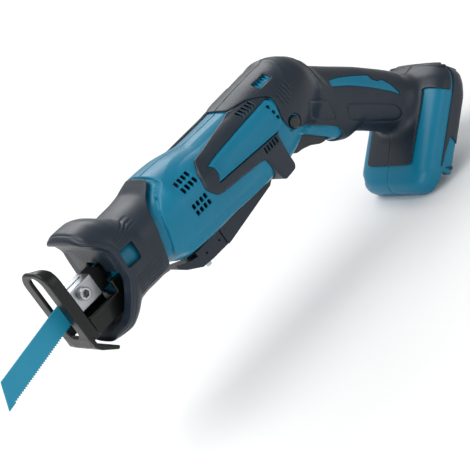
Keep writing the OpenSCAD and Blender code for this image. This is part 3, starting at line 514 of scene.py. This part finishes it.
def tealSurface(x, y, z):  # the outside of the hard plastic, with its flange, creases and raised inlays
    d = outer(x, y, z)
    a = np.abs(y)
    onBody = x < 205
    for (ny, nz), places, distances in facets:
        plane = a * ny + z * nz - np.interp(x, places, distances)
        d = np.where(onBody, smoothMax(d, np.where(onBody, plane, -50), 0.9), d)
    spine = a - np.interp(x, crease["x"], crease["y"])
    fall = np.clip(spine, 0, crease["reach"]) * crease["slope"] * ramp(z, 8, 16)
    d = d + fall * (ramp(x, 97, 106) - ramp(x, 196, 214))
    skirt = np.interp(x, bevel["x"], bevel["z"]) - z
    rise = np.clip(skirt / bevel["tall"], 0, 1) * (1 - ramp(skirt, bevel["tall"], bevel["tall"] + 2.5))
    d = d - bevel["rise"] * rise * (ramp(x, 84, 90) - ramp(x, 164, 170)) * (a > 12)
    edge = flangeLine(x, z)
    d = d + 1.4 * (1 - ramp(edge, -0.1, 0.7)) + 0.5 * np.exp(-((edge - 0.1) / 0.4)**2)
    d = d - 1.3 * (1 - ramp(inlay(x, z), -0.4, 1.0)) * (a > 6)
    return d - 0.9 * (1 - ramp(guardStrip(x, z), -0.6, 0.8))


def holeGrid(x, z, start, pitch, count, half, corner=0.3, shear=0.0):  # rows of holes on a regular grid
    i = np.clip(np.round((x - start[0]) / pitch[0]), 0, count[0] - 1)
    j = np.clip(np.round((z - start[1] - shear * i) / pitch[1]), 0, count[1] - 1)
    return brick(x - start[0] - pitch[0] * i, z - start[1] - shear * i - pitch[1] * j, 0, 0, half[0],
                 half[1], corner)


holes = {  # start of the grid, pitch, count, half size of a hole
    "ventUpper": ((107.4, 11.9), (3.75, 4.9), (4, 2), (1.3, 1.75)),
    "ventLower": ((104.9, -4.2), (3.75, 4.9), (4, 2), (1.3, 1.75)),
    "slotTop": ((178.0, 18.2), (2.9, 9), (5, 1), (0.75, 1.9)),
    "slotRear": ((204.6, 22.4), (2.55, 9), (5, 1), (0.8, 1.45)),
    "slotBox": ((171.9, -7.2), (2.9, 9), (5, 1), (0.8, 2.2)),
    "squares": ((195.3, 2.7), (9, 4.1), (1, 3), (1.15, 1.25)),
}


def ventField(x, z, *names):
    return np.minimum.reduce([holeGrid(x, z, *holes[n]) for n in names])


channel = {"deck": -16.4, "half": 32, "lip": 3.5, "rear": 19, "front": -47, "bottom": -28.4}


def channelField(x, y, z):  # the space that the battery slides into
    s, v = alongFoot(x, z)
    a = np.abs(y)
    wide = np.maximum.reduce([s - channel["rear"], a - channel["half"], v - channel["deck"],
                              channel["bottom"] + channel["lip"] - v])
    narrow = np.maximum.reduce([s - channel["rear"], a - channel["half"] + channel["lip"],
                                v - channel["deck"]])
    step = np.maximum(s - channel["front"], v - channel["deck"])
    return smoothMin(np.minimum(wide, narrow), step, 0.4)


def triggerSpace(x, y, z, spare=0.0):  # the slot that the trigger swings in
    t, k = alongGrip(x, z)
    return np.maximum.reduce([5.5 - t, t - 41, np.abs(y) - 9.5, -42 - k, k + 12.5]) - spare


# places in X and Z of the housing screws and of the lock-off button
screwPlaces = [(131, -29), (134, 16), (217, 15), (216, -12), gripPoint(59, -9), gripPoint(96, 0),
               footPoint(-54, -7), footPoint(22, -7)]
lockPlace = (204.2, -8.7)
housing = {"wall": 2.6, "boss": 4.9, "shank": 1.5, "headHole": 3.7, "lockHole": 4.8, "step": 0.75,
           "keep": 0.45}


def housingHalf(right):  # a shell with screw bosses, vents, the battery channel and the trigger slot
    def field(x, y, z):
        along, y = y, (-y if right else y)
        skin = tealSurface(x, y, z)
        s, v = alongFoot(x, z)
        hollow = smoothMax(skin + housing["wall"], channel["deck"] + 3 - v, 0.6)
        d = smoothMax(skin, -hollow, 0.6)
        for cx, cz in screwPlaces:
            boss = np.maximum(bar(x - cx, z - cz, housing["boss"]), skin + 1)
            d = np.minimum(d, boss)
        d = smoothMax(d, -channelField(x, y, z), 0.5)
        d = smoothMax(d, -triggerSpace(x, y, z), 0.5)
        cuts = np.maximum(ventField(x, z, *holes), y + 12)
        cuts = np.minimum(cuts, np.maximum(bar(x - lockPlace[0], z - lockPlace[1], housing["lockHole"]),
                                           y + 4))
        for cx, cz in screwPlaces:
            cuts = np.minimum(cuts, np.maximum(bar(x - cx, z - cz, housing["shank"]), np.abs(y) - 11))
            if right:
                cuts = np.minimum(cuts, np.maximum(bar(x - cx, z - cz, housing["headHole"]), 8 - along))
        d = smoothMax(d, -cuts, 0.35)
        terminal = np.maximum(np.maximum(np.abs(s + 12) - 19, np.abs(y) - 14),
                              np.abs(v - channel["deck"] - 1.5) - 4)
        d = np.maximum(d, -terminal)
        d = smoothMax(d, 43.2 - x, 0.5)
        return smoothMax(d, y + 0.05, 0.35)
    low, high = ((42, 0, -126), (345, 40, 31)) if right else ((42, -40, -126), (345, 0, 31))
    name = "housingRight" if right else "housingLeft"
    points, faces = netSurface(field, low, high, housing["step"])
    piece = place(name, points, faces, slot="teal_plastic", keep=housing["keep"])
    piece.data.materials.append(materials["tealAbs"])
    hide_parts("housing_right" if right else "housing_left")


# one piece that stands in for one node
def whole(name, field, low, high, step, node, slot, material, body="tool", keep=1.0):
    points, faces = netSurface(field, low, high, step * (1))
    piece = place(name, points, faces, body, slot, keep=keep)
    piece.data.materials.append(materials[material])
    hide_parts(node)


# a left piece and its mirror image on the right
def mirrorPair(name, field, low, high, step, node, slot, material, keep=1.0, body="tool"):
    points, faces = netSurface(field, low, high, step * (1))
    for side in ("Left", "Right"):
        if side == "Right":
            points, faces = points * (1, -1, 1), faces[:, ::-1]
        piece = place(name + side, points, faces, body, slot, keep=keep)
        piece.data.materials.append(materials[material])
        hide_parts(node + "_" + side.lower())


for right in (False, True):
    housingHalf(right)
print("housing made")

# side frame, badge plate and rubber covers, outlines in X and Z
gripShape = [(176.5, 50), (176.5, 22.5), (190, 21.2), (195.2, 19.2), (199.5, 16.8), (202.4, 14),
             (201.2, 9), (197.2, 1), (197.6, -6), (198.2, -12), (201.5, -14.5), (206, -14.2),
             (213.5, -18.6), (224.5, -27), (236.5, -36.2), (242.6, -42.2), (244.5, -49), (236, -60),
             footPoint(-52, 26), footPoint(-48.5, 9), footPoint(-46, 0.6), footPoint(9.5, 0.6),
             footPoint(10.5, -12.8), footPoint(50, -12.8), footPoint(50, 40), (300, 50)]
gripEdge = panel(gripShape, 1.6)
frameShape = [(200, 30), (126, 30), (124, 18), (120.7, 12.3), (117.7, 2.8), (123.9, -6.4), (134, -8),
              (150, -9.8), (168.6, -12.4), (175, -35), (187, -33), (188, -5.5), (196, -2.5), (202, 13)]
frameTop = {"x": (116, 124, 129.8, 142, 155.5, 168, 177.4, 190, 204),
            "y": (34, 29, 23.5, 19.3, 16, 13.2, 11, 9, 8)}
badgeShape = [(130.8, 12.6), (133.8, 9.4), (132.6, 4.4), (129, 0.4), (187.4, -4.4), (195.4, -3.2),
              (200.9, 12.2), (198.4, 15.4)]
frameEdge, badgeEdge = panel(frameShape, 3), panel(badgeShape, 1.5)
boxEdge = panel([(168.4, -12.6), (186.6, -6.2), (188, -31), (186, -34), (175, -35.2)], 1.6)
# how far each stands off the housing, its flat corner, mesh step and share of faces kept
sideFrame = {"lift": 2.1, "chamfer": 2.2, "step": 0.55, "keep": 0.5}


def chamferMax(a, b, width, blend=0.5):  # a corner between two surfaces, cut back flat
    return smoothMax(smoothMax(a, b, blend), (a + b) * 0.7071 + width * 0.7071, blend)


def frameField(x, y, z):
    skin = tealSurface(x, y, z)
    a = np.abs(y)
    plan = (np.interp(x, frameTop["x"], frameTop["y"]) - a) * 0.9
    upper = chamferMax(skin - sideFrame["lift"], smoothMax(frameEdge(x, z), plan, 1.5), sideFrame["chamfer"])
    block = chamferMax(np.maximum(a - 35.8 - 0.12 * (z + 7), -z - 34.6), boxEdge(x, z), 1.6)
    block = smoothMax(block, 10 - a, 0.5)
    d = smoothMin(upper, block, 0.8)
    d = smoothMax(d, -(badgeEdge(x, z) - 0.25), 0.3)
    d = smoothMax(d, -(skin - 0.05), 0.2)
    d = smoothMax(d, -gripEdge(x, z) + 0.05, 0.2)
    d = smoothMax(d, -(ventField(x, z, "slotTop", "slotBox", "ventUpper")), 0.3)
    return smoothMax(d, y + 6, 0.3)


mirrorPair("sideFrame", frameField, (116, -38, -37), (204, -4, 25), sideFrame["step"], "side_frame", "rubber",
           "overmouldRubber", sideFrame["keep"])

badge = {"lift": 1.5, "rim": 0.5, "step": 0.5, "keep": 0.5}


def badgeField(x, y, z):
    skin, edge = tealSurface(x, y, z), badgeEdge(x, z)
    lift = badge["lift"] + badge["rim"] * np.exp(-((edge + 1.6) / 0.6)**2)
    d = smoothMax(skin - lift, edge + 0.1, 0.7)
    d = smoothMax(d, -(skin - 0.05), 0.2)
    d = smoothMax(d, -ventField(x, z, "squares"), 0.3)
    return smoothMax(d, y + 6, 0.3)


mirrorPair("badgePlate", badgeField, (127, -38, -8), (204, -20, 18), badge["step"], "badge_plate",
           "teal_plastic", "tealAbs", badge["keep"])

# slanting slits below the rear slots
motifEdge = [((206.5, 12.5), (205.5, 4.5)), ((209.3, 14), (208.3, 4.2)), ((212.1, 14.8), (211.1, 5.2)),
             ((214.9, 15), (213.9, 7.2)), ((217.7, 14.6), (216.7, 9.4))]
gripPanelFront = panel([(223, -6), (233, -13.5), (243.5, -21), (244.5, -31), (243.5, -36.5), (234, -30),
                        (221, -18.5)], 3)
gripPanelRear = panel([(256.5, -33), (273.4, -45.8), (291, -60.5), (292.6, -69), (287, -71.5),
                       (268.6, -57.8), (251.5, -43.5)], 3)
cover = {"lift": 1.4, "step": 0.65, "keep": 0.45, "recess": 6.2}


def gripCoverField(x, y, z):
    skin = tealSurface(x, y, z)
    plain = outer(x, y, z)
    edge = gripEdge(x, z)
    a = np.abs(y)
    lift = cover["lift"] * np.ones_like(x)
    for part in (gripPanelFront, gripPanelRear):
        p = part(x, z)
        lift = lift + (0.55 * (1 - ramp(p, -1.2, 0.0)) - 0.35 * np.exp(-((p - 0.5) / 0.5)**2)) * (a > 8)
    slits = np.minimum.reduce([lineDistance(x, z, m) for m in motifEdge]) - 0.25
    lift = lift - 0.6 * (1 - ramp(slits, -0.1, 0.4)) * (a > 15)
    around = bar(x - lockPlace[0], z - lockPlace[1], cover["recess"])
    lift = lift - 1.25 * (1 - ramp(around, -0.8, 0.2)) * (a > 15)
    d = smoothMax(plain - lift, edge, 1.3)
    d = smoothMax(d, -(np.minimum(skin, plain) - 0.05), 0.2)
    d = smoothMax(d, -(inlay(x, z) - 0.3) - 100 * (a < 6), 0.5)
    d = smoothMax(d, -(guardStrip(x, z) - 0.3), 0.4)
    d = smoothMax(d, -triggerSpace(x, y, z, 0.1), 0.5)
    window = brick(x, z, 209.8, 22.1, 6.4, 1.55, 0.5)
    d = smoothMax(d, -np.maximum(window, 6 - a), 0.3)
    d = np.maximum(d, -(bar(x - lockPlace[0], z - lockPlace[1], 4.9) + 100 * (a < 8)))
    return smoothMax(d, y + 0.05, 0.3)


mirrorPair("gripCover", gripCoverField, (174, -40, -120), (345, 0, 31), cover["step"], "grip_cover", "rubber",
           "overmouldRubber", cover["keep"])

footTrim = {"lift": 1.0, "step": 0.55, "keep": 0.5}
patch = panel([(-21.5, -18.8), (-25.5, -26), (-41, -26), (-44.6, -15.2), (-35, -16.4)], 0.8)


def footTrimField(x, y, z):
    plain = outer(x, y, z)
    s, v = alongFoot(x, z)
    band = np.maximum(np.maximum(-26.2 - v, v + 14.5), -44 - s)
    d = smoothMax(plain - footTrim["lift"], band, 1.0)
    d = smoothMax(d, -(plain - 0.05), 0.2)
    d = smoothMax(d, -(patch(s, v) - 0.2), 0.3)
    return smoothMax(d, y + 0.05, 0.3)


mirrorPair("footTrim", footTrimField, (262, -40, -126), (345, 0, -60), footTrim["step"], "foot_trim",
           "rubber", "overmouldRubber", footTrim["keep"])
print("covers made")

# nose cover, its rows and mouth along X
noseRows = [
    (14, 33, -36.5, 26, 2.8, 2.8), (28, 35, -38, 31, 2.8, 2.8), (36, 37.6, -34.7, 33, 2.7, 2.7),
    (46, 37.2, -28.3, 33, 2.6, 2.6), (53, 34.8, -27.8, 32, 2.6, 2.6), (59, 29.9, -27.8, 31.5, 2.6, 2.6),
    (66, 24.2, -27.5, 31.5, 2.6, 2.6), (80, 24.1, -30.5, 32.5, 2.6, 2.6), (88, 24.6, -34, 35, 2.5, 2.5),
    (95, 27, -37, 36.5, 2.5, 2.5), (101, 29.5, -38.5, 37.5, 2.4, 2.4)]
mouthRows = [(8, 24, -30, 17, 3, 3), (28, 26, -30, 22, 3, 3), (36, 24, -26, 23, 3, 3),
             (44, 13.5, -20.5, 22, 3, 3)]
noseCurves, mouthCurves = smoothRows(noseRows), smoothRows(mouthRows)
noseFront = panel([(30, 60), (30, 30.5), (37, 25.5), (41.5, 17), (40.5, -4), (25, -28.5), (14.5, -31),
                   (14.5, -60), (120, -60), (120, 60)], 2.5)
noseRear = panel([(0, 60), (0, -60), (80, -60), (76, -30), (71, -22), (72, -10), (75, 1), (79, 12),
                  (82, 17), (87, 20.5), (94, 24.3), (100, 27.5), (103, 60)], 1)
nose = {
    "step": 0.6, "keep": 0.6, "guard": (40.6, 43.3), "opening": 8.6, "window": (50.7, 7.2, 6.2, 6.2, 1.2, -6),
    "ribs": (  # height, pitch, side of Z, then where the ribs start and end along Z and X
        (0.56, 2.4, -1, 5, 19, 42, 66),
        (0.4, 2.0, 1, 15.5, 22, 46, 68))}


def noseField(x, y, z):
    front, rear = noseFront(x, z), noseRear(x, z)
    a = np.abs(y)
    d = loft(x, y, z, noseCurves)
    for height, pitch, side, fromZ, toZ, fromX, toX in nose["ribs"]:
        wave = 0.5 + 0.5 * np.cos(z * 2 * math.pi / pitch)
        acrossZ = ramp(side * z, fromZ, fromZ + 1) - ramp(side * z, toZ, toZ + 1)
        d = d + height * wave * acrossZ * (ramp(x, fromX, fromX + 2) - ramp(x, toX, toX + 4)) * (a > 12)
    d = d + 0.45 * np.exp(-((front + 3.6) / 0.5)**2)
    d = smoothMax(d, front, 2.2)
    d = smoothMax(d, rear, 0.8)
    d = smoothMax(d, -loft(x, y, z, mouthCurves), 1.2)
    near, far = nose["guard"]  # a dark plate round the plunger
    opening = brick(y, z, 0, 0, nose["opening"], nose["opening"], 1.5)
    d = np.minimum(d, np.maximum.reduce([brick(y, z, 0, 11, 24, 10, 4), x - far, near - x, -opening]))
    d = smoothMax(d, -(np.maximum(outer(x, y, z), 43 - x) - 0.05), 0.5)
    window = brick(x, z, *nose["window"])
    return smoothMax(d, -np.maximum(window, 10 - a), 0.6)


whole("noseCover", noseField, (12, -39, -41), (104, 39, 41), nose["step"], "nose_cover", "rubber",
      "overmouldRubber", keep=nose["keep"])
print("nose cover made")

# shoe, clamp, trigger and button
shoe = {"half": 17, "top": 33, "bottom": -29, "corner": 12, "sheet": 2.7, "rim": 8.5, "rimWall": 2.7,
        "slot": 6.9, "arm": (12.5, 16), "step": 0.5}
hook = panel([(0.2, -20), (0.2, -28), (3, -31.8), (13, -39.8), (15, -38), (6.2, -29.5), (3.2, -26),
              (3, -20)], 1.0, 0.25)


def slab(x, y, z, low, high, edge):  # a box with slightly rounded edges
    middle, size = [(a + b) / 2 for a, b in zip(low, high)], [(b - a) / 2 for a, b in zip(low, high)]
    qx, qy, qz = (np.abs(v - m) - w + edge for v, m, w in zip((x, y, z), middle, size))
    far = np.sqrt(np.maximum(qx, 0)**2 + np.maximum(qy, 0)**2 + np.maximum(qz, 0)**2)
    return far + np.minimum(np.maximum.reduce([qx, qy, qz]), 0) - edge


def shoeField(x, y, z):
    a = np.abs(y)
    middle, tall = (shoe["top"] + shoe["bottom"]) / 2, (shoe["top"] - shoe["bottom"]) / 2
    deep = np.interp(y, (-13, 4), (shoe["rim"], shoe["sheet"] + 0.4))
    d = smoothMax(brick(y, z, 0, middle, shoe["half"], tall, shoe["corner"]), np.maximum(-x, x - deep), 1.6)
    inner = shoe["half"] - shoe["rimWall"]
    hollow = brick(y, z, 0, shoe["top"] - shoe["rimWall"] - 50, inner, 50, shoe["corner"] - 2.5)
    d = smoothMax(d, -np.maximum(hollow, shoe["sheet"] - x), 0.7)
    d = smoothMax(d, -np.maximum(-z - 60, brick(y, z, 0, 4.5, shoe["slot"], 25.3, shoe["slot"])), 1.0)
    d = smoothMin(d, smoothMax(hook(x, z), a - shoe["half"], 1.0), 0.8)
    low, high = shoe["arm"]
    d = smoothMin(d, slab(x, a, z, (1.5, low, -23.5), (39, high, -11), 0.5), 0.6)
    d = smoothMin(d, slab(x, a, z, (36, low, -14.8), (70, high, -3), 0.5), 0.6)
    return smoothMax(d, -bar(x - 63, z + 8, 2.2), 0.3)


whole("shoePan", shoeField, (0, -17, -40), (70, 17, 33), shoe["step"], "shoe", "black_steel",
      "blackOxideSteel", keep=0.6)

clamp = {"low": (11.5, -8, -8), "high": (31, 8, 8), "edge": 0.7, "boltAt": (18.7, 1.9), "head": 4.35,
         "socket": 2.3, "step": 0.35}


def clampField(x, y, z):
    d = slab(x, y, z, clamp["low"], clamp["high"], clamp["edge"])
    d = smoothMax(d, -np.maximum(np.abs(y) - 0.75, x - 28), 0.2)
    d = np.maximum(d, -np.maximum(np.hypot(y, z) - 4.05, 28.4 - x))
    return smoothMax(d, -np.maximum(bar(x - clamp["boltAt"][0], z - clamp["boltAt"][1], 2.55), y - 6.1), 0.2)


def boltField(x, y, z):
    u, v = x - clamp["boltAt"][0], z - clamp["boltAt"][1]
    head = smoothMax(bar(u, v, clamp["head"]), np.maximum(-13 - y, y + 8.02), 0.8)
    shank = np.maximum(bar(u, v, 2.5), np.maximum(-9 - y, y - 5.4))
    angle = np.arctan2(v, u)
    wedge = np.cos(np.mod(angle, math.pi / 3) - math.pi / 6)
    socket = np.maximum(np.hypot(u, v) * wedge - clamp["socket"], y + 7.5)
    return smoothMax(np.minimum(head, shank), -socket, 0.25)


whole("clampBlock", clampField, clamp["low"], clamp["high"], clamp["step"], "blade_clamp",
      "bright_steel", "machinedSteel", "plunger_group", 0.6)
whole("clampBolt", boltField, (14, -13, -3), (23.5, 6, 6.5), 0.25, "clamp_bolt", "bright_steel",
      "machinedSteel", "plunger_group", 0.6)

triggerEdge = panel([(10, -20), (9.5, -26.5), (9.5, -35.5), (11.5, -39), (14.5, -38.5), (19, -35.5),
                     (26, -32.5), (34, -31), (38, -29), (40, -20.5), (37, -16.5), (30, -18.5)], 1.2,
                     0.25)


def triggerField(x, y, z):
    t, k = alongGrip(x, z)
    d = smoothMax(triggerEdge(t, k), np.abs(y) - 8.95, 2.2)
    return np.minimum(d, slab(t, y, k, (16, -3, -22), (22, 3, -11.5), 0.3))


whole("triggerLever", triggerField, (202, -9, -49), (242, 9, -10), 0.5, "trigger", "black_plastic",
      "blackNylon", "trigger", 0.7)
buttonSpan = [v.co.y / mm for v in frame["nodes"]["lock_off_button"].data.vertices]
button = {"radius": 4.45, "dome": 3.2, "step": 0.3}


def buttonField(x, y, z):
    ends = np.maximum(min(buttonSpan) - y, y - max(buttonSpan))
    return smoothMax(bar(x - lockPlace[0], z - lockPlace[1], button["radius"]), ends, button["dome"])


whole("lockButton", buttonField, (199.5, min(buttonSpan), -13.5), (209, max(buttonSpan), -4), button["step"],
      "lock_off_button", "black_plastic", "blackNylon", "lock_off", 0.5)
print("shoe, clamp and controls made")
